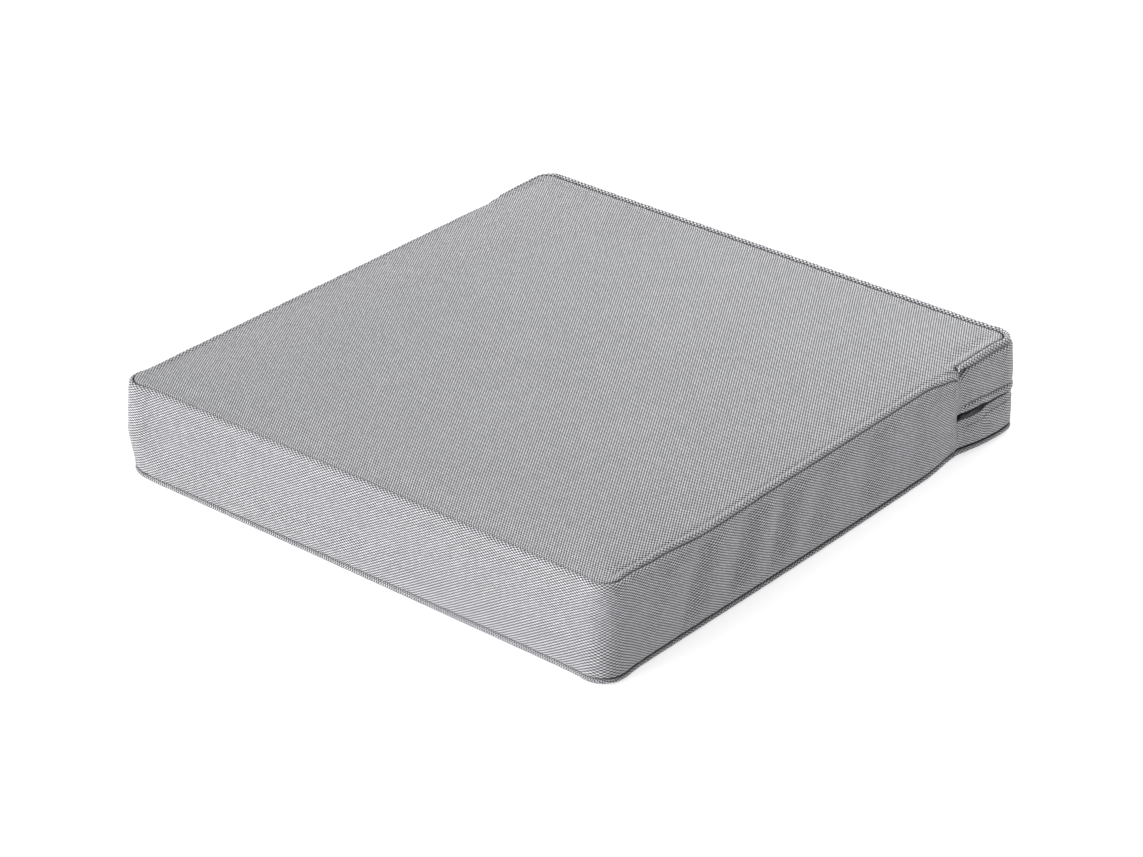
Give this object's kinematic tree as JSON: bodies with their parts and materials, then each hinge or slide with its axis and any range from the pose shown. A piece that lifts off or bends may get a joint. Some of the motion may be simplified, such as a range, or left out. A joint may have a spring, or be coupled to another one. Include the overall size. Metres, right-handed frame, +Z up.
{
  "type": "boxed seat and kneeling cushion with zipped cover",
  "caption": "Square boxed foam cushion in a removable woven cover with plain turned seams and a lapped zip round the rear band.",
  "frame": {"origin": "centre of the flat resting face under the cushion", "axes": "+Z up through the cushion's thickness; +Y to the zipped rear, its longest side; +X to the right, the side that holds the closed end of the zip"},
  "size_m": [0.601, 0.6205, 0.104],
  "materials": {
    "cover_cloth": "mid grey outdoor cloth in a basket weave",
    "foam": "open-cell polyurethane foam, cut",
    "wadding": "white polyester fibre wadding",
    "thread": "grey polyester sewing thread",
    "zip_tape": "grey woven polyester tape, matched to the cloth",
    "zip_coil": "grey nylon coil",
    "zip_plastic": "black moulded plastic, satin"
  },
  "bodies": {
    "root": {"foam_core": "foam", "fibre_top": "wadding", "fibre_bottom": "wadding", "top_panel": "cover_cloth", "bottom_panel": "cover_cloth", "front_boxing": "cover_cloth", "zip_boxing_upper": "cover_cloth", "zip_boxing_lower": "cover_cloth", "top_seam_thread": "thread", "bottom_seam_thread": "thread", "join_seam_thread": "thread", "flap_stitching": "thread", "lower_zip_stitching": "thread", "zip_tape_upper": "zip_tape", "zip_tape_lower": "zip_tape", "zip_coil_upper": "zip_coil", "zip_coil_lower": "zip_coil", "bottom_overlock_thread": "thread", "top_overlock_thread": "thread"},
    "slider": {"zip_slider": "zip_plastic"},
    "pull": {"zip_pull": "zip_plastic"}
  },
  "joints": [
    {"name": "zip_slide", "type": "slide", "parent": "root", "child": "slider", "axis": [0, 1, 0], "range_m": [0, 0.048]},
    {"name": "pull_swing", "type": "hinge", "parent": "slider", "child": "pull", "pos_m": [0.29785, 0.224, 0.044], "axis": [0, 0, -1], "range_deg": [0, 160]}
  ]
}
